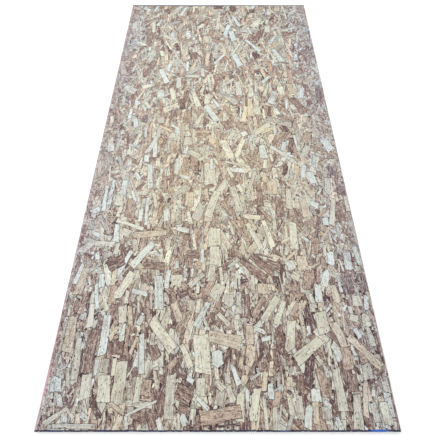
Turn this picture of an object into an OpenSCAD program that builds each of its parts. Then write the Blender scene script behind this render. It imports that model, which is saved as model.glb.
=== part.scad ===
// Oriented strand board: one sheathing sheet, lying flat.
// Millimetres, +Z up. The origin is the middle of the underside, the long
// sides run along Y, and X runs across the sheet.

/* [Sheet] */
// Long side of the sheet, along Y, as sawn at the mill
sheet_length = 2440; // [600:10:7320]
// Short side of the sheet, along X
sheet_width = 1220; // [300:10:2500]
// Thickness of the pressed mat, along Z
sheet_thickness = 11.1; // [6:0.1:30]

/* [Hidden] */
// Colour of the strands on the face, taken as one
strand_colour = [0.72, 0.65, 0.56];

// The sheet is pressed as one mat and trimmed square, so it is one solid with
// flat faces and sawn edges, standing on the plane z = 0.
module osb_panel()
  color(strand_colour)
    translate([-sheet_width / 2, -sheet_length / 2, 0])
      cube([sheet_width, sheet_length, sheet_thickness]);

osb_panel();
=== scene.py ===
# One sheet of oriented strand board, lying flat with its face up.
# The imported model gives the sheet's place and size, and the strands that show on it are made here.
import math
import bpy
import numpy as np
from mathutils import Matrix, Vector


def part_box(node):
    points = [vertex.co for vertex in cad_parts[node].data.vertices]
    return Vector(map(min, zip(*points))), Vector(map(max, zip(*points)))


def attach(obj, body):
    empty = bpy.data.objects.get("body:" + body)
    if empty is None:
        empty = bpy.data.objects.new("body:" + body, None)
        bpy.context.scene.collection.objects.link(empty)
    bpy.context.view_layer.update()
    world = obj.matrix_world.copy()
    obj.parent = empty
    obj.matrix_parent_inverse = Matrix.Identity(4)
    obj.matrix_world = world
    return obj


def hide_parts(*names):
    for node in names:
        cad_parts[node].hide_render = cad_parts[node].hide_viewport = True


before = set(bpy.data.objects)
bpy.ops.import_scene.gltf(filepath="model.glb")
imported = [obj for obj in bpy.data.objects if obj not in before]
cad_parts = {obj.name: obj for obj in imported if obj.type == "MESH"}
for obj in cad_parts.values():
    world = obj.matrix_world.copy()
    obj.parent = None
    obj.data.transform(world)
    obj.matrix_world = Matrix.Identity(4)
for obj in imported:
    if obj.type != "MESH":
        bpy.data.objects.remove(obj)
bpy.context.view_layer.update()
BODY = "root"
NODE = "osb_panel"
low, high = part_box(NODE)
HALF_WIDTH = high[0]
HALF_LENGTH = high[1]
TOP = high[2]
UNDERSIDE = low[2]

# ---------------------------------------------------------------------------------------------
# Viewpoint, floor and light.
# The eye stands over the near end of the sheet and looks down along its length, from about a
# metre above the face. The floor is plain and pale, and the light is soft and even.
EYE_ABOVE_FACE = 1.074
EYE_INSIDE_NEAR_END = 0.302
EYE_RIGHT_OF_MIDDLE = 0.0045
LOOKING_DOWN = math.radians(66.05)
SENSOR = 36.0
LENS = 21.41
SIDEWAYS_SHIFT = -0.0036

camera_data = bpy.data.cameras.new("eye")
camera_data.sensor_width = SENSOR
camera_data.lens = LENS
camera_data.shift_x = SIDEWAYS_SHIFT
camera = bpy.data.objects.new("eye", camera_data)
camera.location = (EYE_RIGHT_OF_MIDDLE, EYE_INSIDE_NEAR_END - HALF_LENGTH, TOP + EYE_ABOVE_FACE)
camera.rotation_euler = (math.pi / 2 - LOOKING_DOWN, 0.0, 0.0)
bpy.context.scene.collection.objects.link(camera)
bpy.context.scene.camera = camera
bpy.context.scene.view_settings.view_transform = "Standard"

FLOOR_HALF = 9.0
FLOOR_DROP = 0.0004
FLOOR_WHITE = (0.90, 0.90, 0.90, 1.0)
FLOOR_ROUGHNESS = 0.9
floor_corners = [(x * FLOOR_HALF, y * FLOOR_HALF, UNDERSIDE - FLOOR_DROP)
                 for x, y in ((-1, -1), (1, -1), (1, 1), (-1, 1))]
floor_mesh = bpy.data.meshes.new("floor")
floor_mesh.from_pydata(floor_corners, [], [(0, 1, 2, 3)])
floor = bpy.data.objects.new("floor", floor_mesh)
bpy.context.scene.collection.objects.link(floor)
floor_paint = bpy.data.materials.new("floor_paint")
floor_paint.use_nodes = True
floor_shader = floor_paint.node_tree.nodes["Principled BSDF"]
floor_shader.inputs["Base Color"].default_value = FLOOR_WHITE
floor_shader.inputs["Roughness"].default_value = FLOOR_ROUGHNESS
floor_mesh.materials.append(floor_paint)

SKY_COLOUR = (0.97, 0.98, 1.0, 1.0)
SKY_STRENGTH = 0.75
sky = bpy.data.worlds.new("soft_sky")
sky.use_nodes = True
sky_light = sky.node_tree.nodes["Background"]
sky_light.inputs["Color"].default_value = SKY_COLOUR
sky_light.inputs["Strength"].default_value = SKY_STRENGTH
bpy.context.scene.world = sky

LAMP_WIDTH = 3.0
LAMP_LENGTH = 4.0
LAMP_WATTS = 85.0
LAMP_PLACE = (-0.5, 0.6, 2.8)
LAMP_TILT = (math.radians(-10.0), math.radians(-9.0), 0.0)
lamp_data = bpy.data.lights.new("overhead_softbox", "AREA")
lamp_data.shape = "RECTANGLE"
lamp_data.size = LAMP_WIDTH
lamp_data.size_y = LAMP_LENGTH
lamp_data.energy = LAMP_WATTS
lamp = bpy.data.objects.new("overhead_softbox", lamp_data)
lamp.location = LAMP_PLACE
lamp.rotation_euler = LAMP_TILT
bpy.context.scene.collection.objects.link(lamp)

# ---------------------------------------------------------------------------------------------
# Mat core.
# The inside of the sheet: strands and fine chips pressed into one dark mat, dark partly from resin and
# partly as painted shade for the gaps. It fills the sheet behind the strands that show, and is seen only
# down the gaps between them.
FACE_DEPTH = 0.00095  # how far the mat lies under each face
EDGE_DEPTH = 0.0011  # and behind each sawn edge


def put(tree, kind, inputs=None, **settings):
    """Adds a node. An input that is given a socket is linked to it, and any other takes the value."""
    made = tree.nodes.new(kind)
    for name, value in settings.items():
        setattr(made, name, value)
    for name, value in (inputs or {}).items():
        if isinstance(value, bpy.types.NodeSocket):
            tree.links.new(value, made.inputs[name])
        else:
            made.inputs[name].default_value = value
    return made


def blend_colours(tree, share, under, over):
    """Lays one colour over another by a share. The mixer takes the colours at places 6 and 7."""
    mix = put(tree, "ShaderNodeMix", data_type="RGBA", clamp_result=True)
    for place, value in ((0, share), (6, under), (7, over)):
        if isinstance(value, bpy.types.NodeSocket):
            tree.links.new(value, mix.inputs[place])
        else:
            mix.inputs[place].default_value = value
    return mix.outputs[2]


def ramp(tree, value, start, end, low_value=0.0, high_value=1.0):
    """Turns a value between start and end smoothly into low_value to high_value, held flat outside."""
    reach = {"From Min": start, "From Max": end, "To Min": low_value, "To Max": high_value}
    step = put(tree, "ShaderNodeMapRange", {"Value": value, **reach},
               interpolation_type="SMOOTHSTEP", clamp=True)
    return step.outputs["Result"]


def maths(tree, how, first, second=0.0):
    """One sum on one or two values, such as ADD or ABSOLUTE."""
    made = put(tree, "ShaderNodeMath", {0: first, 1: second}, operation=how)
    return made.outputs["Value"]


def linear(red, green, blue):
    """A colour on a 0 to 255 scale, as the renderer's linear numbers."""
    return tuple(((part / 255 + 0.055) / 1.055) ** 2.4 if part > 10 else part / 255 / 12.92
                 for part in (red, green, blue))


def opaque(red, green, blue):
    """The same colour with full cover, as a colour input takes it."""
    return (*linear(red, green, blue), 1.0)


def make_piece(name, corners, faces, finish):
    """Makes one piece that lies still with the sheet, with its finish."""
    mesh = bpy.data.meshes.new(name)
    mesh.from_pydata(corners, [], faces)
    mesh.materials.append(finish)
    piece = bpy.data.objects.new(name, mesh)
    bpy.context.scene.collection.objects.link(piece)
    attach(piece, BODY)
    return piece


# Dark mat colour: partly resin, partly painted shade down the gaps between strands.
CORE_DARK = opaque(50, 33, 38)
CORE_CHIP = opaque(112, 84, 78)
CORE_ROUGHNESS = 0.85
core_finish = bpy.data.materials.new("dark_mat_resin_and_shade")
core_finish.use_nodes = True
tree = core_finish.node_tree
spot = put(tree, "ShaderNodeTexCoord").outputs["Object"]
chips = put(tree, "ShaderNodeTexVoronoi", {"Vector": spot, "Scale": 160.0})
chip_tone = put(tree, "ShaderNodeTexNoise", {"Vector": spot, "Scale": 300.0, "Detail": 3.0})
chip_share = maths(tree, "MULTIPLY", ramp(tree, chips.outputs["Distance"], 0.2, 0.6, 1.0, 0.0),
                   ramp(tree, chip_tone.outputs["Fac"], 0.40, 0.70))
core_colour = blend_colours(tree, chip_share, CORE_DARK, CORE_CHIP)
core_shader = tree.nodes["Principled BSDF"]
tree.links.new(core_colour, core_shader.inputs["Base Color"])
core_shader.inputs["Roughness"].default_value = CORE_ROUGHNESS
core_bump = put(tree, "ShaderNodeBump",
                {"Height": chip_tone.outputs["Fac"], "Strength": 0.6, "Distance": 0.0006})
tree.links.new(core_bump.outputs["Normal"], core_shader.inputs["Normal"])

CORE_STEPS_ACROSS = 61
CORE_STEPS_ALONG = 122
CORE_DIP = 0.00012
CORE_SEED = 11
CORNERS_A_FACE = CORE_STEPS_ACROSS * CORE_STEPS_ALONG
core_rng = np.random.default_rng(CORE_SEED)
core_x = np.linspace(-HALF_WIDTH + EDGE_DEPTH, HALF_WIDTH - EDGE_DEPTH, CORE_STEPS_ACROSS)
core_y = np.linspace(-HALF_LENGTH + EDGE_DEPTH, HALF_LENGTH - EDGE_DEPTH, CORE_STEPS_ALONG)
core_corners = []
for level, sign in ((TOP - FACE_DEPTH, -1.0), (UNDERSIDE + FACE_DEPTH, 1.0)):
    dips = core_rng.uniform(0.0, CORE_DIP, (CORE_STEPS_ALONG, CORE_STEPS_ACROSS))
    core_corners += [(x, y, level + sign * dips[j, i])
                     for j, y in enumerate(core_y) for i, x in enumerate(core_x)]


def core_corner(i, j, upper):
    """Number of the mat's corner at step i across and step j along, on the upper or the lower face."""
    return j * CORE_STEPS_ACROSS + i + (0 if upper else CORNERS_A_FACE)


core_faces = []
for j in range(CORE_STEPS_ALONG - 1):
    for i in range(CORE_STEPS_ACROSS - 1):
        tile = ((i, j), (i + 1, j), (i + 1, j + 1), (i, j + 1))
        core_faces.append([core_corner(a, b, True) for a, b in tile])
        core_faces.append([core_corner(a, b, False) for a, b in (tile[0], tile[3], tile[2], tile[1])])
last_i = CORE_STEPS_ACROSS - 1
last_j = CORE_STEPS_ALONG - 1
rim_path = ([(i, 0) for i in range(last_i)] + [(last_i, j) for j in range(last_j)]
            + [(i, last_j) for i in range(last_i, 0, -1)] + [(0, j) for j in range(last_j, 0, -1)])
for here, there in zip(rim_path, rim_path[1:] + rim_path[:1]):
    core_faces.append([core_corner(*here, True), core_corner(*here, False),
                       core_corner(*there, False), core_corner(*there, True)])
core = make_piece("mat_core", core_corners, core_faces, core_finish)
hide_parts(NODE)

# ---------------------------------------------------------------------------------------------
# Face strands.
# Thin flakes of aspen and pine, sliced along the grain, coated with resin and pressed flat into
# the face. Most lie along the sheet. They are laid here in thin layers, the top one first.
FACE_LAYERS = 7
LAYER_STEP = 0.00012  # how far each layer lies under the one above it
STRAND_THICK = 0.00007
STRAND_SPREAD = 0.00004  # how unevenly the strands of one layer lie
BEVEL = 0.0022  # how wide the sloped rim of a strand is, darkened by resin stain and painted shade
CELL = 0.0025  # side of the squares that the face is divided into, to see where strands lie
COLUMNS = int(round(2 * HALF_WIDTH / CELL))
ROWS = int(round(2 * HALF_LENGTH / CELL))

# Tones of the strands: the colour, then the tone's share of the random strands in four places. These
# are the top and the deepest layer near the near end, and the top and the deepest layer elsewhere.
# The darker shares near the near end are painted shade.
TONES = {
    "white": ((205, 213, 207), (0.12, 0.02, 0.08, 0.01)),
    "grey": ((193, 193, 181), (0.21, 0.10, 0.16, 0.10)),
    "cream": ((204, 204, 187), (0.27, 0.12, 0.29, 0.20)),
    "straw": ((204, 195, 174), (0.13, 0.08, 0.20, 0.18)),
    "tan": ((187, 168, 149), (0.17, 0.24, 0.23, 0.32)),
    "mauve": ((156, 133, 121), (0.08, 0.24, 0.04, 0.12)),
    "brown": ((118, 92, 88), (0.02, 0.17, 0.00, 0.07)),
    "bark": ((74, 52, 57), (0.00, 0.05, 0.00, 0.015)),
    "slate": ((144, 132, 134), (0.00, 0.00, 0.00, 0.00)),
}
TONE_NAMES = list(TONES)
TONE_SHARES = np.array([shares for _, shares in TONES.values()]).T
MARGIN = 0.14  # width of the dusty strip along each long edge
MARGIN_TINT = np.array((178, 172, 172))
MARGIN_SHARE = 0.32
NEAR_FROM = 0.45  # where the near part begins, from the middle, and how soon it is fully dark; its darker look is painted shade
NEAR_REACH = 0.35
FAR_REACH = 0.6
FAR_CONTRAST = 0.35
WARM_SHIFT = np.array((3.0, 0.0, -8.0))  # added where the sheet is warm and taken away where it is cool
COOL_FROM = 0.25
COOL_ASIDE = 0.8
COOL_NEAR = 0.35
COOL_FAR = 0.45
LIGHT_SPREAD = 0.04
WARMTH_SPREAD = 1.6
BOLD_LIGHT_SPREAD = 0.02
SMALL_ACROSS = 0.012  # a narrower strand has a tone from mid depth, wherever it lies
SMALL_DEPTH = 0.6
SMALLEST_AREA = 2e-6
HIDDEN_SHARE = 0.03  # a strand that shows less of itself than this is left out

# Half of the strands keep close to the sheet's length, a third lean more, and the rest lie anyhow.
CLOSE_LEAN = math.radians(20.0)
LOOSE_LEAN = math.radians(52.0)
CLOSE_UP_TO = 0.50
LOOSE_UP_TO = 0.85
NEAR_ORDER = 0.45  # how much less the strands lean near the near end

# Kinds of strand: share of the count, range of length and range of width.
KINDS = (
    (0.40, (0.080, 0.150), (0.018, 0.046)),
    (0.34, (0.050, 0.110), (0.010, 0.028)),
    (0.12, (0.040, 0.110), (0.003, 0.008)),
    (0.14, (0.014, 0.040), (0.006, 0.017)),
)
KIND_SHARES = np.array([kind[0] for kind in KINDS])
SMALL_KIND = 3
# Kinds of strand that fill what is still bare at the end, and the most of each. A share of the bare
# places stays open down to the mat, and a larger share towards the two ends; at the near end
# the larger open share darkens it as painted shade.
FILLERS = ((1, 2500), (SMALL_KIND, 5000), (SMALL_KIND, 5000))
LEFT_BARE = 0.36
NEAR_BARE = 0.54
FAR_BARE = 0.14


def strand_end(rng, half, across, shape):
    """Corners of one end that faces along, from its left side to its right. p is pointed, r is ragged."""
    if shape == "p":
        tip = rng.uniform(-0.3, 0.3) * across
        back = rng.uniform(0.4, 1.3) * min(across, 0.38 * half)
        other_back = back * rng.uniform(0.5, 1.2)
        return [(half - back, 0.5 * across), (half, tip), (half - other_back, -0.5 * across)]
    if shape == "r":
        count = int(rng.integers(3, 6))
        sides = np.linspace(0.5, -0.5, count) * across
        teeth = rng.uniform(0.0, 0.35, count) * min(across, half, 0.03)
        return [(half - tooth, side) for tooth, side in zip(teeth, sides)]
    slant = rng.uniform(-0.30, 0.30) * min(across, half)
    bite = rng.uniform(-0.04, 0.10) * min(across, half)
    notch = (half - 0.5 * abs(slant) - bite, rng.uniform(-0.3, 0.3) * across)
    return [(half - max(slant, 0.0), 0.5 * across), notch, (half + min(slant, 0.0), -0.5 * across)]


def strand_outline(rng, along, across, ends):
    """Outline of one strand about its own middle: along the grain, then across it."""
    half = along / 2
    head = strand_end(rng, half, across, ends[0])
    tail = [(-a, -b) for a, b in strand_end(rng, half, across, ends[1])]
    shrink = 1.0 - rng.uniform(0.0, 0.32)
    steps = 1 + int(along > 0.05) + int(along > 0.1)
    stops = [along * (0.5 - (k + 1) / (steps + 1)) * 0.8 for k in range(steps)]
    right = [(stop, -0.5 * across * (1 + rng.uniform(-0.16, 0.10))) for stop in stops]
    left = [(-stop, 0.5 * across * (1 + rng.uniform(-0.16, 0.10))) for stop in stops]
    points = np.array(head + right + tail + left)
    taper = 1 - (1 - shrink) * (points[:, 0] / along + 0.5)
    points[:, 1] *= taper
    bow = rng.normal(0.0, 0.35) * (points[:, 0] ** 2 - half * half / 3) * 0.6
    points[:, 1] += bow
    return points[::-1]


def turned(points, turn):
    """Turns an outline so that its grain leaves the sheet's length by this angle."""
    c, s = math.cos(turn), math.sin(turn)
    return np.stack([-points[:, 0] * s + points[:, 1] * -c, points[:, 0] * c - points[:, 1] * s], 1)


def sawn(points):
    """The part of an outline that is left when the sheet is sawn to size."""
    for axis, limit in ((0, HALF_WIDTH), (1, HALF_LENGTH)):
        for sign in (1.0, -1.0):
            kept = []
            for here, there in zip(points, np.roll(points, -1, 0)):
                inside, next_inside = sign * here[axis] <= limit, sign * there[axis] <= limit
                if inside:
                    kept.append(here)
                if inside != next_inside:
                    part = (sign * limit - here[axis]) / (there[axis] - here[axis])
                    kept.append(here + part * (there - here))
            if len(kept) < 3:
                return None
            points = np.array(kept)
    return points


def cells_under(points):
    """The squares whose middles lie inside an outline, as a window of the face and a mask in it."""
    grid = (points + (HALF_WIDTH, HALF_LENGTH)) / CELL
    first = np.maximum(np.floor(grid.min(0)).astype(int), 0)
    last = np.minimum(np.ceil(grid.max(0)).astype(int), (COLUMNS, ROWS))
    x = np.arange(first[0], last[0]) + 0.5
    y = (np.arange(first[1], last[1]) + 0.5)[:, None]
    inside = np.zeros((len(y), len(x)), bool)
    for (ax, ay), (bx, by) in zip(grid, np.roll(grid, -1, 0)):
        if ay != by:
            inside ^= ((ay > y) != (by > y)) & (x < (bx - ax) * (y - ay) / (by - ay) + ax)
    return (slice(first[1], last[1]), slice(first[0], last[0])), inside


def outline_area(points):
    """Area inside an outline, whose corners run anticlockwise."""
    x, y = points.T
    return 0.5 * float(np.sum(x * np.roll(y, -1) - y * np.roll(x, -1)))


def nearness(along):
    """How much of the near end's darker look, which is painted shade, a place has, from 0 to 1."""
    return min(max((-along - NEAR_FROM) / NEAR_REACH, 0.0), 1.0)


def farness(along):
    """How much of the far end's stronger contrast a place has, from 0 to 1."""
    return min(max(along / FAR_REACH, 0.0), 1.0)


def random_strand(rng, middle, kind):
    """Size, lean and ends of one strand. Most lie along the sheet, more closely near the near end."""
    if kind < 2 and abs(middle[0]) > HALF_WIDTH - MARGIN and rng.random() < 0.6:
        kind = SMALL_KIND
    along = rng.uniform(*KINDS[kind][1])
    across = rng.uniform(*KINDS[kind][2])
    lie = rng.random()
    loose = 1.0 - NEAR_ORDER * nearness(middle[1])
    if lie < CLOSE_UP_TO:
        turn = rng.normal(0.0, CLOSE_LEAN * loose)
    elif lie < LOOSE_UP_TO:
        turn = rng.normal(0.0, LOOSE_LEAN * loose)
    else:
        turn = rng.uniform(-math.pi / 2, math.pi / 2)
    ends = "".join(rng.choice(list("ppr" if across < 0.01 else "sssrp"), 2))
    return middle, along, across, turn, None, ends


def strand_colour(rng, tone, depth, aside, along):
    """Colour of one strand. Deep strands are darker, those near the near end are darker as painted shade,
    and those by the edges are greyer and cooler.
    """
    near = nearness(along)
    aside_share = min(max((abs(aside) - COOL_FROM) / COOL_FROM, 0.0), 1.0)
    cool = max(COOL_ASIDE * aside_share, COOL_NEAR * near, COOL_FAR * farness(along))
    if tone is None:
        places = np.array((near * (1 - depth), near * depth, (1 - near) * (1 - depth), (1 - near) * depth))
        shares = places @ TONE_SHARES
        tone = TONE_NAMES[rng.choice(len(TONE_NAMES), p=shares / shares.sum())]
        tint = MARGIN_SHARE * min(max((abs(aside) - HALF_WIDTH + MARGIN) / MARGIN, 0.0), 1.0)
        shade = np.array(TONES[tone][0]) * (1 - tint) + MARGIN_TINT * tint
        shade = shade * (1 + rng.normal(0.0, LIGHT_SPREAD))
        shade = shade + rng.normal(0.0, WARMTH_SPREAD) * np.array((1.0, 0.0, -1.4))
    else:
        shade = np.array(TONES[tone][0]) * (1 + rng.normal(0.0, BOLD_LIGHT_SPREAD))
    shade = shade + WARM_SHIFT * (1 - 2 * cool)
    shade = shade + FAR_CONTRAST * farness(along) * (shade - np.array(TONES["straw"][0]))
    return linear(*shade.clip(20, 236))


def lay_strand(rng, layers, laid, middle, along, across, turn, tone, ends):
    """Lays one strand in the first layer from the top that has room for it."""
    points = sawn(turned(strand_outline(rng, along, across, ends), turn) + middle)
    if points is None or outline_area(points) < SMALLEST_AREA:
        return
    window, inside = cells_under(points)
    if not inside.any():
        return
    for level, layer in enumerate(layers):
        if not (layer[window] & inside).any():
            layer[window] |= inside
            depth = level / (len(layers) - 1) if across > SMALL_ACROSS else SMALL_DEPTH
            colour = strand_colour(rng, tone, depth, *middle)
            laid[level].append((points, middle, turn, colour, window, inside, rng.random(3)))
            return


def lay_face(seed, tries, layer_count, bold_strands=()):
    """Lays a whole face: first the bold strands, which no random strand covers, and then random ones.

    Returns the layers from the top, without the strands that are as good as hidden.
    """
    rng = np.random.default_rng(seed)
    layers = [np.zeros((ROWS, COLUMNS), bool) for _ in range(layer_count)]
    laid = [[] for _ in range(layer_count)]
    for x, y, along, across, turn, tone, ends in bold_strands:
        lay_strand(rng, layers, laid, np.array((x, y)) / 1000, along / 1000, across / 1000,
                   math.radians(turn), tone, ends)
    for level, strands in enumerate(laid):
        for _, _, _, _, window, inside, _ in strands:
            for layer in layers[:level]:
                layer[window] |= inside
    for _ in range(tries):
        middle = rng.uniform((-HALF_WIDTH, -HALF_LENGTH), (HALF_WIDTH, HALF_LENGTH))
        lay_strand(rng, layers, laid, *random_strand(rng, middle, rng.choice(len(KINDS), p=KIND_SHARES)))
    for kind, patches in FILLERS:
        bare = np.argwhere(~np.any(layers, 0))
        for row, column in rng.permutation(bare)[:patches]:
            if any(layer[row, column] for layer in layers):
                continue
            middle = np.array((column + 0.5, row + 0.5)) * CELL - (HALF_WIDTH, HALF_LENGTH)
            open_share = LEFT_BARE + NEAR_BARE * nearness(middle[1]) + FAR_BARE * farness(middle[1])
            if rng.random() > open_share:
                lay_strand(rng, layers, laid, *random_strand(rng, middle, kind))
    covered = np.zeros((ROWS, COLUMNS), bool)
    shown = []
    for level in laid:
        kept = []
        for strand in level:
            window, inside = strand[4:6]
            if (inside & ~covered[window]).sum() > HIDDEN_SHARE * inside.sum():
                kept.append(strand)
        for _, _, _, _, window, inside, _ in kept:
            covered[window] |= inside
        shown.append(kept)
    return shown


def pulled_in(points, by):
    """An outline drawn in by a small distance, less where it is narrow."""
    ahead = np.roll(points, -1, 0) - points
    length = np.maximum(np.hypot(*ahead.T), 1e-9)[:, None]
    inward = np.stack([-ahead[:, 1], ahead[:, 0]], 1) / length
    both = inward + np.roll(inward, 1, 0)
    both /= np.maximum((both ** 2).sum(1, keepdims=True) / 2, 0.6)
    narrow = 2 * outline_area(points) / length.sum()
    return points + both * min(by, 0.14 * narrow)


def lay_out(mesh, plan):
    """Gives each corner its place, from 0 to 1, on the flat picture that the finish is baked to."""
    spread = mesh.uv_layers.new(name="OFBake")
    corner_of = np.empty(len(mesh.loops), int)
    mesh.loops.foreach_get("vertex_index", corner_of)
    spread.data.foreach_set("uv", np.asarray(plan)[corner_of].ravel())


def face_piece(name, strands, outer, inward_sign, finish):
    """Builds one layer of strands as one mesh. Each strand is a closed thin plate with a sloped rim, which
    the finish darkens partly as painted shade.
    """
    corners, faces, tones, places, rims = [], [], [], [], []
    for points, middle, turn, colour, _, _, luck in strands:
        depth = outer + inward_sign * STRAND_SPREAD * luck[0]
        upper = pulled_in(points, BEVEL).clip((-HALF_WIDTH, -HALF_LENGTH), (HALF_WIDTH, HALF_LENGTH))
        start, count = len(corners), len(points)
        corners += [(x, y, depth + inward_sign * STRAND_THICK) for x, y in points]
        corners += [(x, y, depth) for x, y in upper]
        lower_ring = list(range(start, start + count))
        upper_ring = list(range(start + count, start + 2 * count))
        walls = [[lower_ring[k], lower_ring[(k + 1) % count], upper_ring[(k + 1) % count], upper_ring[k]]
                 for k in range(count)]
        if inward_sign < 0:
            faces += [lower_ring[::-1]] + walls + [upper_ring]
        else:
            faces += [lower_ring] + [wall[::-1] for wall in walls] + [upper_ring[::-1]]
        c, s = math.cos(turn), math.sin(turn)
        away = np.concatenate([points, upper]) - middle
        grain = away[:, 1] * c - away[:, 0] * s
        side = -away[:, 0] * c - away[:, 1] * s
        places += [(g + 3 * luck[1], b + 3 * luck[2], 7 * luck[0]) for g, b in zip(grain, side)]
        tones += [(*colour, luck[1])] * (2 * count)
        rims += [1.0] * count + [0.0] * count
    piece = make_piece(name, corners, faces, finish)
    mesh = piece.data
    mesh.attributes.new("tone", "FLOAT_COLOR", "POINT").data.foreach_set("color", np.ravel(tones))
    mesh.attributes.new("place", "FLOAT_VECTOR", "POINT").data.foreach_set("vector", np.ravel(places))
    mesh.attributes.new("rim", "FLOAT", "POINT").data.foreach_set("value", rims)
    from_corner = np.array(corners)[:, :2] + (HALF_WIDTH, HALF_LENGTH)
    lay_out(mesh, from_corner / (2 * HALF_WIDTH, 2 * HALF_LENGTH))
    return piece


# Places where the blue end paint ran thicker onto the face at the near end: the middle of each run
# across the sheet, its reach to either side, and how bright it is.
SMEARS = ((0.540, 0.055, 1.0), (-0.550, 0.035, 0.25), (-0.385, 0.035, 0.2))
SMEAR_DEPTH = 0.0018
# Dark navy along the ends: blue paint, and painted shade of the end of the sheet.
NAVY = opaque(8, 26, 56)
BLUE = opaque(36, 92, 180)
ROSE = opaque(196, 148, 160)
RESIN = opaque(62, 39, 43)
LATE_BAND = opaque(140, 110, 94)
PALE_FIBRE = opaque(222, 220, 206)
PALE_FLECK = opaque(208, 196, 182)
DARK_FLECK = opaque(70, 46, 48)
MOTTLE = opaque(78, 52, 56)
STAIN = opaque(118, 94, 92)
DULL_CLOUD = opaque(140, 118, 108)
PALE_CLOUD = opaque(222, 216, 204)
PORE = opaque(56, 37, 42)
# Dark rim colour: resin stain and painted shade in the gaps between strands.
RIM_STAIN_AND_SHADE = opaque(60, 38, 43)


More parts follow.
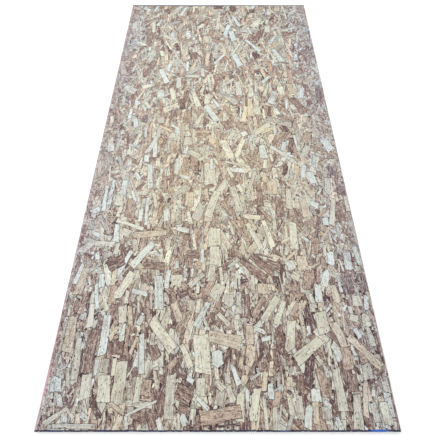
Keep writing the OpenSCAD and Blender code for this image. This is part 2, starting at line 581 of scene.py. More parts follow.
def strand_finish(name):
    """Sliced wood under a thin coat of resin: grain, pores, a rim darkened by resin stain and painted
    shade, and paint by the sawn edges.
    """
    material = bpy.data.materials.new(name)
    material.use_nodes = True
    tree = material.node_tree
    shader = tree.nodes["Principled BSDF"]
    spot = put(tree, "ShaderNodeTexCoord").outputs["Object"]
    tone = put(tree, "ShaderNodeAttribute", attribute_name="tone").outputs["Color"]
    place = put(tree, "ShaderNodeAttribute", attribute_name="place").outputs["Vector"]
    rim = put(tree, "ShaderNodeAttribute", attribute_name="rim").outputs["Fac"]
    lightness = put(tree, "ShaderNodeRGBToBW", {"Color": tone}).outputs["Val"]
    darkness = ramp(tree, lightness, 0.28, 0.62, 1.0, 0.20)
    parts = put(tree, "ShaderNodeSeparateXYZ", {"Vector": spot})
    aside = parts.outputs["X"]
    along = parts.outputs["Y"]
    # Painted shade: towards the near end the dark marks and the grit are stronger.
    near_end_shade = ramp(tree, along, -NEAR_FROM - NEAR_REACH, -0.5 * NEAR_FROM, 1.0, 0.80)
    darkness = maths(tree, "MULTIPLY", darkness, near_end_shade)

    def grain(turns_along, turns_across, detail, offset=0.0, roughness=0.55):
        """Noise drawn out along the strand, with so many turns a metre along the grain and across it."""
        drawn = put(tree, "ShaderNodeVectorMath", {0: place, 1: (turns_along, turns_across, 1.0 + offset)},
                    operation="MULTIPLY").outputs[0]
        look = {"Scale": 1.0, "Detail": detail, "Roughness": roughness, "Distortion": 0.35}
        return put(tree, "ShaderNodeTexNoise", {"Vector": drawn, **look}).outputs["Fac"]

    fibres = grain(26.0, 420.0, 3.0)
    bands = grain(9.0, 125.0, 3.0, 0.5)
    flecks = grain(42.0, 220.0, 3.0, 1.5, 0.65)
    cracks = grain(13.0, 170.0, 1.0, 2.5)
    mottle = put(tree, "ShaderNodeTexNoise",
                 {"Vector": spot, "Scale": 85.0, "Detail": 4.0, "Roughness": 0.66}).outputs["Fac"]
    patches = put(tree, "ShaderNodeTexNoise",
                  {"Vector": spot, "Scale": 17.0, "Detail": 4.0, "Roughness": 0.6}).outputs["Fac"]
    dust = put(tree, "ShaderNodeTexNoise", {"Vector": spot, "Scale": 260.0, "Detail": 2.0}).outputs["Fac"]
    pore_place = put(tree, "ShaderNodeVectorMath", {0: place, 1: (62.0, 135.0, 3.0)}, operation="MULTIPLY")
    pores = put(tree, "ShaderNodeTexVoronoi", {"Vector": pore_place.outputs[0], "Scale": 1.0})
    pore_pick = put(tree, "ShaderNodeSeparateColor", {"Color": pores.outputs["Color"]}).outputs[0]

    band_share = maths(tree, "MULTIPLY", ramp(tree, bands, 0.46, 0.66, 0.0, 0.60),
                       maths(tree, "ADD", maths(tree, "MULTIPLY", darkness, 0.7), 0.25))
    wood = blend_colours(tree, band_share, tone, LATE_BAND)
    fibre_share = maths(tree, "MULTIPLY", ramp(tree, fibres, 0.42, 0.70, 0.0, 0.50),
                        maths(tree, "ADD", maths(tree, "MULTIPLY", darkness, 0.75), 0.18))
    wood = blend_colours(tree, fibre_share, wood, RESIN)
    wood = blend_colours(tree, ramp(tree, fibres, 0.46, 0.28, 0.0, 0.30), wood, PALE_FIBRE)
    fleck_share = maths(tree, "MULTIPLY", ramp(tree, flecks, 0.51, 0.60, 0.0, 0.85), darkness)
    wood = blend_colours(tree, fleck_share, wood, DARK_FLECK)
    mottle_share = maths(tree, "MULTIPLY", ramp(tree, mottle, 0.52, 0.64, 0.0, 0.50), darkness)
    wood = blend_colours(tree, mottle_share, wood, MOTTLE)
    light_share = maths(tree, "MULTIPLY", ramp(tree, flecks, 0.46, 0.38, 0.0, 0.55), darkness)
    wood = blend_colours(tree, light_share, wood, PALE_FLECK)
    stain_share = maths(tree, "MULTIPLY", ramp(tree, patches, 0.52, 0.74, 0.0, 0.28),
                        ramp(tree, along, -0.2, 0.6, 1.0, 1.9))
    wood = blend_colours(tree, stain_share, wood, STAIN)
    crack_near = maths(tree, "ABSOLUTE", maths(tree, "SUBTRACT", cracks, 0.5))
    crack_share = maths(tree, "MULTIPLY", ramp(tree, crack_near, 0.005, 0.020, 0.70, 0.0),
                        ramp(tree, patches, 0.42, 0.58))
    wood = blend_colours(tree, crack_share, wood, RESIN)
    off_middle = maths(tree, "ABSOLUTE", aside)
    margin = ramp(tree, off_middle, HALF_WIDTH - MARGIN, HALF_WIDTH, 0.0, 0.6)
    grit_share = maths(tree, "MULTIPLY", ramp(tree, dust, 0.57, 0.63, 0.0, 0.95),
                       maths(tree, "MULTIPLY", near_end_shade, maths(tree, "ADD", darkness, margin)))
    wood = blend_colours(tree, grit_share, wood, RESIN)
    # The rim of each strand is darkened: partly resin stain, partly painted shade in the gaps between
    # strands.
    rim_stain_and_shade = maths(tree, "ADD", rim, maths(tree, "MULTIPLY", maths(tree, "SUBTRACT", mottle, 0.5), 1.6))
    rim_stain_and_shade = maths(tree, "MULTIPLY", rim_stain_and_shade, ramp(tree, rim, 0.0, 0.15))
    wood = blend_colours(tree, ramp(tree, mottle, 0.50, 0.70, 0.0, 0.32), wood, DULL_CLOUD)
    wood = blend_colours(tree, ramp(tree, mottle, 0.48, 0.34, 0.0, 0.22), wood, PALE_CLOUD)
    pore_share = maths(tree, "MULTIPLY", ramp(tree, pores.outputs["Distance"], 0.13, 0.27, 0.95, 0.0),
                       ramp(tree, pore_pick, 0.37, 0.41))
    wood = blend_colours(tree, pore_share, wood, PORE)
    wood = blend_colours(tree, ramp(tree, rim_stain_and_shade, 0.05, 0.60, 0.0, 0.95), wood, RIM_STAIN_AND_SHADE)

    # Paint that went over the edge onto the face: blue along both ends, rose along the left edge. The band
    # along each end is dark navy: blue paint, darkened as painted shade of the sheet's end.
    to_end = maths(tree, "SUBTRACT", HALF_LENGTH, maths(tree, "ABSOLUTE", along))
    drift = put(tree, "ShaderNodeTexNoise",
                {"Vector": spot, "Scale": 30.0, "Detail": 5.0, "Roughness": 0.7}).outputs["Fac"]
    wander = maths(tree, "MULTIPLY", maths(tree, "SUBTRACT", drift, 0.5), 0.003)
    smear = 0.0
    for middle, reach, strength in SMEARS:
        off = maths(tree, "ABSOLUTE", maths(tree, "SUBTRACT", aside, middle))
        smear = maths(tree, "ADD", smear, ramp(tree, off, 0.0, reach, strength, 0.0))
    smear = maths(tree, "MULTIPLY", smear, ramp(tree, along, -0.1, 0.1, 1.0, 0.0))
    smeared = maths(tree, "SUBTRACT", maths(tree, "ADD", to_end, wander),
                    maths(tree, "MULTIPLY", smear, SMEAR_DEPTH))
    bleed = maths(tree, "MULTIPLY", ramp(tree, along, -0.1, 0.1, 0.0, 0.006),
                  ramp(tree, aside, -0.1, 0.4, 1.0, 0.3))
    end_share = ramp(tree, maths(tree, "SUBTRACT", smeared, bleed), 0.0040, 0.0054, 1.0, 0.0)
    blueness = maths(tree, "ADD", ramp(tree, drift, 0.54, 0.74, 0.0, 0.5), smear)
    end_blue = blend_colours(tree, ramp(tree, blueness, 0.0, 1.0), NAVY, BLUE)
    to_left = maths(tree, "ADD", maths(tree, "ADD", HALF_WIDTH, aside), wander)
    side_share = maths(tree, "MULTIPLY", ramp(tree, to_left, 0.004, 0.010, 0.85, 0.0),
                       ramp(tree, along, -0.95 * HALF_LENGTH, -0.55 * HALF_LENGTH, 1.0, 0.22))
    side_share = maths(tree, "MULTIPLY", side_share, ramp(tree, drift, 0.38, 0.54, 0.35, 1.0))
    wood = blend_colours(tree, side_share, wood, ROSE)
    wood = blend_colours(tree, end_share, wood, end_blue)
    tree.links.new(wood, shader.inputs["Base Color"])

    tree.links.new(ramp(tree, bands, 0.3, 0.7, 0.52, 0.74), shader.inputs["Roughness"])
    shader.inputs["Specular IOR Level"].default_value = 0.35
    relief = maths(tree, "ADD", maths(tree, "MULTIPLY", fibres, 0.6), dust)
    bump = put(tree, "ShaderNodeBump", {"Height": relief, "Strength": 0.35, "Distance": 0.0005})
    tree.links.new(bump.outputs["Normal"], shader.inputs["Normal"])
    return material


pressed_strand = strand_finish("pressed_strand")
# Strands that stand out: middle across and along in millimetres, length, width, degrees that the far
# end leans to the left, tone, and the far and near ends (s sawn square, p pointed, r ragged).
BOLD_STRANDS = (
    # slivers of bark
    (-498, -1024, 110, 8, 3, "bark", "pp"), (-257, -600, 38, 6, 45, "bark", "pp"),
    (-509, -839, 60, 6, 2, "bark", "pp"), (-105, -962, 42, 8, 10, "bark", "pp"),
    (-25, -1101, 24, 6, 0, "bark", "pp"), (104, -1183, 28, 8, 0, "bark", "pp"),
    (10, -973, 18, 12, 40, "bark", "pp"), (37, -1203, 86, 9, -85, "bark", "pp"),
    (250, -1109, 20, 14, 60, "bark", "pp"), (310, -924, 36, 13, 5, "bark", "pp"),
    (585, -1061, 34, 8, 12, "bark", "pp"), (573, -715, 38, 13, -25, "bark", "pp"),
    (429, -787, 74, 10, -8, "bark", "pp"), (384, -743, 32, 10, -20, "bark", "pp"),
    (332, 169, 28, 10, 80, "bark", "pp"), (597, -994, 60, 8, 12, "bark", "pp"),
    # near end, left third
    (-410, -1029, 52, 34, 0, "grey", "ss"),
    (-428, -927, 145, 34, 0, "white", "ss"), (-439, -1032, 57, 18, 3, "white", "ss"),
    (-516, -1004, 145, 30, 5, "cream", "ss"), (-559, -924, 140, 48, 2, "straw", "rs"),
    (-573, -1086, 58, 46, 10, "white", "ps"), (-546, -1136, 45, 22, 25, "white", "sp"),
    (-521, -1181, 30, 25, 10, "white", "ps"), (-281, -987, 140, 25, 6, "white", "rs"),
    (-262, -1155, 112, 9, -68, "white", "ss"), (-308, -1195, 42, 13, 14, "white", "ss"),
    (-301, -986, 22, 7, 55, "white", "ss"), (-401, -1099, 90, 52, 8, "cream", "ps"),
    (-380, -1135, 150, 14, 59, "straw", "pp"), (-349, -1084, 145, 46, 0, "cream", "ss"),
    (-376, -1032, 60, 17, 0, "cream", "sr"), (-314, -964, 65, 17, -20, "straw", "ss"),
    (-281, -1104, 85, 26, -4, "cream", "sr"), (-253, -1094, 60, 45, 0, "tan", "sr"),
    (-466, -1092, 90, 40, 3, "cream", "rs"), (-548, -1176, 95, 22, -57, "cream", "rr"),
    (-483, -1205, 150, 17, 90, "grey", "ss"), (-211, -924, 150, 45, 40, "cream", "ss"),
    (-341, -944, 110, 20, 0, "tan", "ss"), (-454, -1178, 34, 20, 60, "white", "sp"),
    (-577, -693, 95, 25, -12, "white", "ps"), (-559, -727, 120, 38, -8, "straw", "sr"),
    (-477, -722, 62, 26, 10, "white", "rs"), (-485, -783, 110, 20, 12, "white", "pr"),
    (-494, -857, 95, 28, 2, "cream", "rs"), (-534, -819, 70, 22, -10, "tan", "ss"),
    (-449, -847, 26, 15, 30, "white", "ss"), (-371, -854, 80, 35, 8, "cream", "rr"),
    (-341, -859, 85, 20, 12, "straw", "pp"), (-299, -874, 42, 22, -25, "white", "ss"),
    (-195, -1201, 44, 22, 25, "white", "pr"),
    # near end, middle third
    (-58, -991, 143, 62, 6, "cream", "rs"), (0, -1006, 62, 48, 5, "white", "sp"),
    (25, -942, 132, 55, 77, "straw", "ss"), (120, -931, 78, 35, 0, "straw", "sr"),
    (121, -996, 80, 42, -5, "straw", "sp"), (-116, -997, 90, 24, 28, "cream", "ss"),
    (-158, -977, 38, 27, -30, "white", "ss"), (-165, -1022, 55, 22, -45, "tan", "ss"),
    (-166, -1118, 142, 36, 0, "grey", "ss"), (-98, -1072, 36, 20, 60, "white", "rr"),
    (-60, -1094, 60, 40, -5, "cream", "sr"), (-53, -1141, 60, 17, 50, "white", "ss"),
    (9, -1091, 50, 25, 50, "cream", "sr"), (5, -1126, 58, 34, -10, "grey", "rs"),
    (45, -1113, 62, 28, 20, "cream", "sp"), (63, -1054, 76, 24, 22, "white", "ps"),
    (35, -1066, 42, 26, 5, "grey", "ss"), (9, -1174, 148, 46, -83, "tan", "sr"),
    (103, -1118, 46, 17, 0, "white", "pp"), (129, -1143, 106, 34, -13, "cream", "sp"),
    (186, -1104, 54, 26, -3, "white", "ss"), (163, -1166, 100, 15, 3, "cream", "ss"),
    (167, -1076, 66, 22, -10, "straw", "ss"), (135, -1061, 45, 9, -58, "white", "ss"),
    (147, -905, 92, 18, 68, "white", "pp"), (-115, -1188, 42, 24, 30, "white", "pr"),
    (-176, -931, 60, 26, 0, "cream", "rs"), (182, -939, 44, 18, -80, "white", "rr"),
    (-61, -854, 105, 31, -27, "white", "ss"), (-88, -720, 80, 28, -50, "grey", "ss"),
    (-28, -693, 80, 32, -8, "cream", "rr"), (-32, -743, 85, 30, -25, "tan", "ss"),
    (-78, -821, 62, 22, -5, "cream", "ss"), (44, -802, 56, 46, 0, "grey", "sp"),
    (-2, -767, 75, 50, -30, "cream", "rs"), (82, -809, 95, 28, -2, "grey", "rr"),
    (142, -732, 70, 22, 0, "grey", "ss"), (207, -832, 115, 32, -35, "cream", "ss"),
    (180, -755, 52, 44, 0, "straw", "rr"), (162, -824, 90, 28, -32, "tan", "ss"),
    (-67, -618, 68, 20, 2, "white", "ss"), (-60, -655, 62, 20, -8, "straw", "sp"),
    (-170, -725, 55, 48, 0, "cream", "rr"), (-161, -844, 85, 30, 22, "straw", "sp"),
    (107, -590, 62, 20, 3, "straw", "sp"), (22, -871, 70, 20, 45, "cream", "ss"),
    (74, -864, 22, 20, 0, "cream", "ss"),
    # near end, right third
    (573, -1172, 74, 34, 4, "cream", "sr"), (536, -1168, 66, 26, 6, "grey", "rr"),
    (568, -925, 90, 36, 8, "grey", "rs"), (592, -1085, 60, 28, 6, "grey", "ss"),
    (275, -929, 122, 38, -11, "cream", "sp"), (337, -976, 140, 44, -55, "cream", "ss"),
    (392, -934, 70, 35, 40, "cream", "sr"), (342, -1118, 44, 38, 0, "white", "ps"),
    (308, -1179, 75, 28, -12, "white", "ps"), (335, -1169, 68, 26, -3, "straw", "ss"),
    (283, -1153, 80, 26, 0, "grey", "ss"), (428, -1101, 144, 40, 2, "cream", "sr"),
    (391, -1046, 45, 19, 8, "white", "sp"), (437, -994, 48, 17, 10, "white", "pr"),
    (478, -1163, 107, 38, -8, "cream", "ss"), (513, -1129, 110, 22, -12, "straw", "sr"),
    (543, -984, 150, 30, 44, "straw", "ss"), (538, -1047, 65, 42, 5, "grey", "rr"),
    (590, -1136, 95, 30, -3, "white", "sr"), (565, -1143, 60, 27, 0, "straw", "rr"),
    (567, -1186, 62, 30, -5, "white", "rr"), (531, -1156, 50, 10, 38, "white", "ss"),
    (530, -921, 42, 22, 25, "white", "pr"), (255, -1076, 38, 22, 0, "straw", "rs"),
    (377, -1143, 34, 17, 50, "white", "ps"), (372, -1168, 45, 38, 0, "grey", "rr"),
    (408, -1193, 36, 18, 20, "white", "pr"), (304, -660, 46, 44, -70, "white", "sr"),
    (319, -705, 42, 33, 60, "cream", "ss"), (356, -650, 75, 54, 0, "straw", "sr"),
    (443, -713, 82, 32, -20, "white", "pr"), (478, -630, 68, 33, -5, "white", "pp"),
    (459, -595, 56, 18, -5, "cream", "sp"), (549, -640, 86, 38, 0, "white", "sp"),
    (593, -620, 88, 24, 10, "white", "sr"), (471, -778, 75, 30, 8, "straw", "sp"),
    (496, -732, 86, 15, 3, "white", "rr"), (403, -770, 82, 32, -3, "white", "rs"),
    (403, -884, 88, 50, 5, "cream", "ss"), (572, -874, 56, 38, 0, "cream", "pr"),
    (527, -867, 50, 28, 75, "cream", "rr"), (588, -809, 62, 22, -10, "white", "rp"),
    (552, -802, 50, 44, 0, "cream", "rr"), (341, -819, 38, 13, -25, "straw", "ss"),
    (243, -847, 102, 26, -25, "cream", "ss"), (372, -829, 36, 25, 0, "cream", "ss"),
    (518, -660, 60, 12, 10, "cream", "pp"),
    # a third of the way along
    (-322, -613, 138, 37, -38, "white", "ss"), (-382, -743, 125, 38, -28, "cream", "sp"),
    (-315, -771, 70, 24, 77, "white", "ss"), (-239, -770, 146, 38, 8, "white", "ss"),
    (-207, -717, 82, 22, -3, "white", "sp"), (-365, -787, 56, 20, 0, "cream", "rs"),
    (-313, -826, 50, 12, 8, "cream", "ps"), (-263, -613, 30, 12, 60, "white", "ss"),
    (-279, -633, 65, 16, 78, "straw", "rp"), (-437, -587, 56, 26, -5, "cream", "ss"),
    (-492, -567, 95, 28, 88, "cream", "ss"), (-472, -613, 50, 38, -60, "grey", "rr"),
    (-513, -620, 40, 22, 15, "white", "pp"),
    (-530, -340, 145, 23, 2, "white", "ss"), (-506, -312, 145, 23, -2, "white", "sr"),
    (-450, -280, 88, 34, 0, "white", "ss"), (-464, -355, 70, 52, 0, "cream", "rs"),
    (-353, -425, 70, 22, 2, "white", "ss"), (-328, -397, 128, 18, 2, "white", "ss"),
    (-332, -218, 148, 32, 8, "white", "ss"), (-362, -113, 56, 28, 5, "white", "ss"),
    (-205, -150, 76, 20, 2, "white", "ss"), (-164, -223, 56, 24, 65, "white", "ss"),
    (-32, -148, 70, 24, 0, "white", "ss"), (-40, -203, 140, 64, 3, "cream", "rs"),
    (-25, -370, 150, 42, -18, "cream", "sr"), (-40, -420, 92, 40, -8, "straw", "ss"),
    (-235, -425, 72, 36, 12, "white", "sr"), (-180, -437, 86, 30, 2, "grey", "ss"),
    (-158, -500, 62, 25, 78, "white", "ss"), (-449, -515, 92, 30, 4, "white", "ss"),
    (-406, -512, 50, 40, 60, "cream", "ss"), (-302, -520, 150, 30, -85, "straw", "sr"),
    (-562, -405, 50, 38, -50, "white", "sr"), (-395, -218, 52, 25, 35, "white", "ps"),
    (-397, -330, 70, 18, 20, "white", "rp"), (-85, -305, 50, 13, 0, "cream", "ss"),
    (-302, -143, 46, 32, 0, "cream", "ss"), (-135, -345, 90, 44, 0, "straw", "rr"),
    (-13, -620, 100, 52, 3, "cream", "ss"), (-15, -535, 95, 60, 0, "cream", "rr"),
    (327, -86, 150, 24, 49, "white", "ss"), (347, -178, 120, 25, -18, "cream", "ss"),
    (422, -193, 86, 30, -12, "white", "ss"), (457, -228, 80, 38, 8, "white", "rr"),
    (526, -275, 100, 35, -5, "grey", "ss"), (333, -525, 135, 42, -3, "cream", "ss"),
    (301, -510, 60, 16, 0, "cream", "ss"), (401, -390, 106, 48, 10, "straw", "rs"),
    (331, -345, 116, 38, -3, "cream", "ss"), (261, -280, 100, 54, 0, "straw", "ps"),
    (526, -410, 148, 28, -13, "cream", "ss"), (599, -370, 86, 22, 0, "cream", "ss"),
    (446, -373, 50, 36, 60, "white", "rp"), (486, -462, 50, 32, 0, "white", "rr"),
    (95, -150, 140, 16, 75, "cream", "pp"), (20, -280, 100, 40, -28, "cream", "ss"),
    (231, -375, 40, 30, 88, "cream", "ss"), (253, -480, 70, 24, 0, "grey", "ss"),
    (160, -530, 140, 28, 25, "cream", "ss"), (221, -520, 140, 30, 15, "cream", "ss"),
    (30, -545, 100, 28, 30, "straw", "ss"), (25, -418, 50, 16, 45, "white", "ss"),
    (381, -543, 46, 18, 55, "white", "pp"), (481, -307, 36, 12, -35, "white", "ss"),
    # the middle
    (-37, 192, 145, 36, 30, "white", "ss"), (-127, 297, 130, 36, 18, "cream", "ss"),
    (-62, 302, 86, 36, 0, "cream", "rs"), (-344, -30, 126, 30, -22, "white", "sp"),
    (-325, -58, 100, 26, 3, "white", "ss"), (-157, -3, 60, 54, 0, "cream", "rr"),
    (-447, 120, 66, 30, 10, "white", "ss"), (-485, 187, 86, 24, 0, "white", "rs"),
    (-332, 344, 62, 48, 0, "white", "ss"), (-312, 142, 50, 38, 0, "grey", "ss"),
    (-415, 217, 76, 8, 28, "straw", "pp"), (-537, 287, 86, 24, 3, "grey", "ss"),
    (-395, 252, 60, 24, 35, "cream", "sr"), (-100, 152, 92, 30, -25, "cream", "ss"),
    (-29, 62, 100, 20, 0, "cream", "ss"), (-242, 34, 45, 44, 0, "grey", "rr"),
    (-164, -63, 50, 18, -15, "white", "ss"), (-520, -38, 60, 25, 0, "grey", "ss"),
    (215, 252, 150, 42, 0, "cream", "ss"), (180, 237, 140, 36, 0, "straw", "ss"),
    (188, 352, 84, 36, 0, "cream", "ss"), (123, 190, 108, 9, -4, "white", "ss"),
    (68, 297, 115, 38, 50, "grey", "sr"), (332, 130, 150, 38, 68, "grey", "ss"),
    (302, 70, 78, 20, 0, "white", "ss"), (310, 312, 110, 42, -18, "white", "ss"),
    (479, 347, 100, 34, -15, "white", "ss"), (327, 202, 50, 28, 20, "white", "ps"),
    (420, 237, 56, 30, 25, "cream", "pr"), (138, 47, 48, 36, -60, "white", "rr"),
    (36, 167, 70, 26, 0, "cream", "ss"), (565, -28, 100, 54, 25, "white", "rs"),
    (487, 180, 26, 22, 0, "white", "ss"), (68, 32, 60, 30, -20, "cream", "ss"),
    # the far end
    (57, 933, 130, 35, -14, "white", "sp"), (93, 869, 110, 38, 12, "white", "ss"),
    (-3, 1006, 150, 26, -3, "cream", "ss"), (221, 772, 150, 28, 37, "white", "ss"),
    (116, 633, 130, 42, 20, "white", "ss"), (7, 642, 115, 24, -36, "white", "ss"),
    (258, 1015, 120, 50, -28, "cream", "ss"), (326, 942, 75, 40, 0, "cream", "ss"),
    (353, 833, 110, 28, -30, "white", "ss"), (371, 679, 130, 30, 20, "white", "ss"),
    (120, 1033, 130, 28, 22, "white", "ss"), (485, 656, 65, 30, -5, "white", "ss"),
    (-190, 574, 95, 18, 0, "white", "ss"), (-326, 488, 140, 36, 22, "white", "ss"),
    (-302, 564, 80, 26, 0, "white", "ss"), (283, 459, 80, 24, -40, "white", "ss"),
    (417, 815, 85, 20, 0, "cream", "ss"), (521, 1142, 90, 26, -45, "cream", "ss"),
    (-245, 1142, 110, 30, -20, "white", "ss"), (-80, 829, 90, 50, 0, "straw", "rr"),
    (-16, 715, 140, 32, -6, "grey", "ss"), (-112, 979, 60, 35, -30, "cream", "ss"),
    (-399, 1015, 80, 25, -20, "white", "ss"),
    # Brown strands that lie under those.
    (-471, -979, 150, 44, 0, "mauve", "rr"), (-421, -1153, 76, 22, 36, "bark", "pr"),
    (-316, -954, 56, 6, -26, "bark", "pp"), (-271, -1176, 56, 30, 70, "mauve", "rr"),
    (-226, -1191, 62, 30, 25, "mauve", "sr"), (-234, -984, 60, 40, 30, "mauve", "rr"),
    (-371, -969, 54, 40, 0, "mauve", "rr"), (-429, -650, 82, 60, -60, "brown", "rr"),
    (-269, -663, 100, 36, 88, "mauve", "rr"), (-292, -710, 56, 46, 10, "mauve", "rr"),
    (-554, -826, 60, 30, -8, "mauve", "rr"), (-422, -780, 80, 34, 0, "tan", "rr"),
    (-118, -1116, 72, 50, 65, "mauve", "rr"), (-118, -1161, 60, 40, 60, "mauve", "rr"),
    (127, -1034, 78, 12, -31, "mauve", "pp"), (148, -680, 142, 42, 47, "mauve", "ss"),
    (185, -654, 122, 40, 50, "mauve", "rr"), (115, -824, 100, 26, 0, "mauve", "sr"),
    (-108, -612, 62, 45, 90, "mauve", "rr"), (-120, -652, 48, 36, 0, "tan", "rr"),
    (-137, -775, 50, 28, -70, "brown", "rr"), (-180, -821, 120, 9, 25, "brown", "pp"),
    (57, -608, 34, 28, 0, "mauve", "rs"), (82, -602, 60, 15, 38, "tan", "ss"),
    (108, -725, 38, 18, -80, "bark", "pr"), (80, -747, 70, 7, 0, "brown", "pp"),
    (-18, -869, 52, 20, 10, "brown", "rr"), (-111, -819, 48, 22, 0, "straw", "rr"),
    (2, -814, 44, 28, -15, "tan", "rr"),
    (328, -1044, 106, 40, -15, "bark", "sr"), (478, -1079, 65, 42, -5, "mauve", "rs"),
    (472, -1004, 86, 40, 0, "tan", "rr"), (510, -1191, 44, 22, 0, "mauve", "rr"),
    (216, -1002, 65, 30, 5, "brown", "rr"), (263, -1017, 28, 26, 0, "mauve", "rr"),
    (291, -1082, 56, 34, 0, "mauve", "rr"), (368, -906, 38, 32, 0, "brown", "rr"),
    (406, -1159, 46, 14, 25, "brown", "pp"), (375, -1079, 100, 42, 8, "tan", "rr"),
    (595, -952, 76, 14, 2, "bark", "pp"), (560, -939, 80, 14, 0, "slate", "pp"),
    (371, -725, 80, 50, -15, "tan", "rr"), (528, -740, 80, 45, 0, "slate", "rr"),
    (355, -859, 82, 38, 12, "bark", "pr"), (234, -662, 72, 42, 70, "mauve", "rr"),
    (239, -720, 36, 26, 0, "bark", "rr"), (306, -765, 90, 34, 50, "tan", "rr"),
    (471, -723, 32, 22, -20, "brown", "rr"), (444, -650, 60, 28, 0, "tan", "rr"),
    (598, -730, 80, 20, 0, "slate", "rr"), (-404, -390, 110, 54, 0, "tan", "rr"),
    (-230, -352, 28, 12, -25, "bark", "pp"), (-227, -213, 140, 20, 1, "mauve", "rr"),
    (-107, -173, 40, 28, 0, "brown", "rr"), (332, -183, 76, 26, -15, "bark", "pp"),
    (283, -385, 106, 38, 2, "mauve", "rs"), (366, -440, 100, 26, 10, "mauve", "pr"),
    (481, -413, 72, 18, -50, "tan", "ss"), (586, -300, 50, 40, 0, "slate", "rr"),
    (556, -435, 60, 44, 0, "mauve", "rr"), (557, -188, 62, 34, 0, "slate", "rr"),
    (138, -118, 60, 30, 30, "tan", "rr"), (195, -320, 130, 34, 0, "mauve", "rr"),
    (100, -510, 150, 20, 35, "tan", "pp"), (10, -510, 40, 24, 30, "brown", "rr"),
    (441, -500, 86, 16, -15, "brown", "pr"), (493, -308, 40, 10, -15, "brown", "pp"),
    (-202, 262, 90, 34, 8, "brown", "pr"), (-182, 322, 96, 42, 0, "mauve", "rr"),
    (-399, 152, 66, 30, 0, "slate", "rr"), (-517, 92, 46, 18, 20, "brown", "pr"),
    (-472, 0, 106, 13, 5, "brown", "pp"), (-557, 192, 150, 24, 18, "tan", "ss"),
    (-67, 132, 46, 36, 0, "mauve", "rr"), (-167, 167, 100, 46, 0, "tan", "rr"),
    (-92, 32, 65, 26, 88, "tan", "rr"), (360, 84, 60, 28, 25, "bark", "pp"),
    (447, 252, 146, 54, 27, "mauve", "rr"), (514, 274, 40, 32, 0, "brown", "rr"),
    (48, 107, 82, 48, 30, "mauve", "rr"), (128, 94, 76, 36, 70, "tan", "rr"),
    (577, 332, 120, 34, 0, "slate", "rr"), (552, -73, 120, 20, 62, "tan", "ss"),
    (377, -33, 100, 34, -10, "brown", "rr"), (-3, 1194, 54, 66, 0, "brown", "rr"),
    (102, 1176, 80, 50, 0, "brown", "rr"), (235, 1147, 52, 44, 0, "brown", "rr"),
    (235, 674, 66, 44, 20, "brown", "rr"), (-263, 760, 90, 26, 15, "brown", "rr"),
    (-153, 669, 80, 48, 0, "mauve", "rr"),
)
FACE_SEED = 5
FACE_TRIES = 15000
for level, strands in enumerate(lay_face(FACE_SEED, FACE_TRIES, FACE_LAYERS, BOLD_STRANDS)):
    face_piece(f"face_strands_{level + 1}", strands, TOP - LAYER_STEP * level, -1.0, pressed_strand)

# ---------------------------------------------------------------------------------------------
# Back strands.
# The underside is pressed from the same strands against the lower platen. It differs from the face
# only in how its own strands lie.
BACK_LAYERS = 5
BACK_SEED = 23
BACK_TRIES = 9000
for level, strands in enumerate(lay_face(BACK_SEED, BACK_TRIES, BACK_LAYERS)):
    face_piece(f"back_strands_{level + 1}", strands, UNDERSIDE + LAYER_STEP * level, 1.0, pressed_strand)

# ---------------------------------------------------------------------------------------------
# Sawn edges.
# The cut ends of the strands all round the sheet, in thin wavy layers with small gaps where one
# strand stops. The two ends are sealed with blue paint and the two long edges with rose paint.
EDGE_LAYERS = 13
EDGE_STEP = 0.010
EDGE_RUN = (1, 9)  # from one step up to eight steps of a layer belong to the same strand
EDGE_INSET = 0.00040
EDGE_BACK = 0.0030  # how far in the cut ends are built
EDGE_WAVE = 0.00022
EDGE_GAP = 0.00004
EDGE_SLOPE = 0.0007  # how much the outermost layers fall away towards their backs
FACE_RELIEF = 0.0003
EDGE_TONES = TONE_NAMES[1:7]


def edge_paint(name, paint, bare, bare_share):
    """Sealing paint soaked into end grain, thin enough that some strand ends show through it."""
    material = bpy.data.materials.new(name)
    material.use_nodes = True
    tree = material.node_tree
    shader = tree.nodes["Principled BSDF"]
    spot = put(tree, "ShaderNodeTexCoord").outputs["Object"]
    tone = put(tree, "ShaderNodeAttribute", attribute_name="tone")
    blots = put(tree, "ShaderNodeTexNoise",
                {"Vector": spot, "Scale": 60.0, "Detail": 5.0, "Roughness": 0.65})
    grit = put(tree, "ShaderNodeTexNoise", {"Vector": spot, "Scale": 900.0, "Detail": 2.0})
    deep_paint = (*[0.35 * part for part in paint[:3]], 1.0)
    shade = blend_colours(tree, 0.30, paint, tone.outputs["Color"])
    shade = blend_colours(tree, ramp(tree, grit.outputs["Fac"], 0.40, 0.75, 0.0, 0.45), shade, deep_paint)
    worn = maths(tree, "ADD", blots.outputs["Fac"], maths(tree, "MULTIPLY", tone.outputs["Alpha"], 0.25))
    shade = blend_colours(tree, ramp(tree, worn, 0.80 - bare_share, 0.90 - bare_share), shade, bare)
    tree.links.new(shade, shader.inputs["Base Color"])
    tree.links.new(ramp(tree, blots.outputs["Fac"], 0.3, 0.7, 0.48, 0.70), shader.inputs["Roughness"])
    bump = put(tree, "ShaderNodeBump", {"Height": grit.outputs["Fac"], "Strength": 0.5, "Distance": 0.0003})
    tree.links.new(bump.outputs["Normal"], shader.inputs["Normal"])
    return material


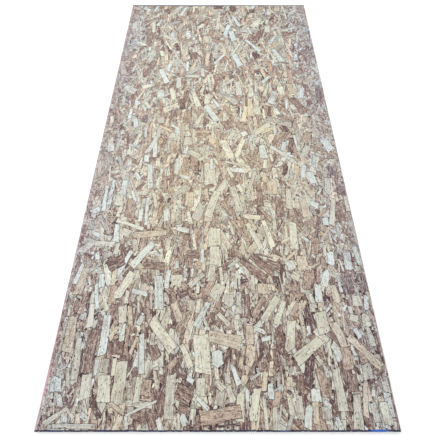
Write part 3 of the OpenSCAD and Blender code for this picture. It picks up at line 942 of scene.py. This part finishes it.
def edge_piece(name, seed, to_place, half, finish, slot):
    """Builds one edge. to_place makes a point of a place along the edge, a depth behind it and a height.

    The faces that show come last, so that they win where two faces share a spot of the baked picture.
    """
    rng = np.random.default_rng(seed)
    stations = np.linspace(-half, half, int(2 * half / EDGE_STEP) + 1)
    seams = np.linspace(UNDERSIDE + FACE_RELIEF, TOP - FACE_RELIEF, EDGE_LAYERS + 1)
    waves = rng.normal(0.0, EDGE_WAVE, (EDGE_LAYERS + 1, len(stations)))
    waves[[0, -1]] = 0.0
    heights = np.sort(seams[:, None] + waves, 0)
    corners, faces, fronts, tones, plan = [], [], [], [], []
    for layer in range(EDGE_LAYERS):
        at = 0
        while at < len(stations) - 1:
            stop = min(at + int(rng.integers(*EDGE_RUN)), len(stations) - 1)
            inset = rng.uniform(0.0, EDGE_INSET)
            shade = np.array(TONES[rng.choice(EDGE_TONES)][0])
            shade = linear(*(shade * rng.uniform(0.85, 1.05)))
            luck = rng.random()
            start = len(corners)
            for k in range(at, stop + 1):
                along = stations[k] + (EDGE_INSET if k == at else 0.0) - (EDGE_INSET if k == stop else 0.0)
                lower = heights[layer, k] + EDGE_GAP
                upper = max(heights[layer + 1, k] - EDGE_GAP, lower + EDGE_GAP)
                back_upper = max(upper - EDGE_SLOPE, lower) if layer == EDGE_LAYERS - 1 else upper
                back_lower = min(lower + EDGE_SLOPE, upper) if layer == 0 else lower
                for depth, height in ((inset, upper), (inset, lower),
                                      (EDGE_BACK, back_lower), (EDGE_BACK, back_upper)):
                    corners.append(to_place(along, depth, height))
                    plan.append(((along + half) / (2 * half), (height - UNDERSIDE) / (TOP - UNDERSIDE)))
                    tones.append((*shade, luck))
            for k in range(stop - at):
                here, there = start + 4 * k, start + 4 * k + 4
                fronts.append([here, here + 1, there + 1, there])
                for side in (1, 2, 3):
                    after = (side + 1) % 4
                    faces.append([here + side, here + after, there + after, there + side])
            last = start + 4 * (stop - at)
            faces += [[start, start + 3, start + 2, start + 1], [last, last + 1, last + 2, last + 3]]
            at = stop
    piece = make_piece(name, corners, faces + fronts, finish)
    mesh = piece.data
    mesh.attributes.new("tone", "FLOAT_COLOR", "POINT").data.foreach_set("color", np.ravel(tones))
    lay_out(mesh, plan)
    return piece


END_BLUE = opaque(34, 58, 108)
END_BARE = opaque(168, 146, 124)
SIDE_ROSE = opaque(196, 142, 156)
SIDE_BARE = opaque(178, 154, 132)
end_paint = edge_paint("blue_end_paint", END_BLUE, END_BARE, 0.10)
side_paint = edge_paint("rose_side_paint", SIDE_ROSE, SIDE_BARE, 0.22)
EDGES = (
    ("near_sawn_end", 31, lambda a, d, z: (a, d - HALF_LENGTH, z), HALF_WIDTH, end_paint, "end_seal"),
    ("far_sawn_end", 32, lambda a, d, z: (-a, HALF_LENGTH - d, z), HALF_WIDTH, end_paint, "end_seal"),
    ("left_sawn_edge", 33, lambda a, d, z: (d - HALF_WIDTH, -a, z), HALF_LENGTH, side_paint, "side_seal"),
    ("right_sawn_edge", 34, lambda a, d, z: (HALF_WIDTH - d, a, z), HALF_LENGTH, side_paint, "side_seal"),
)
for edge in EDGES:
    edge_piece(*edge)
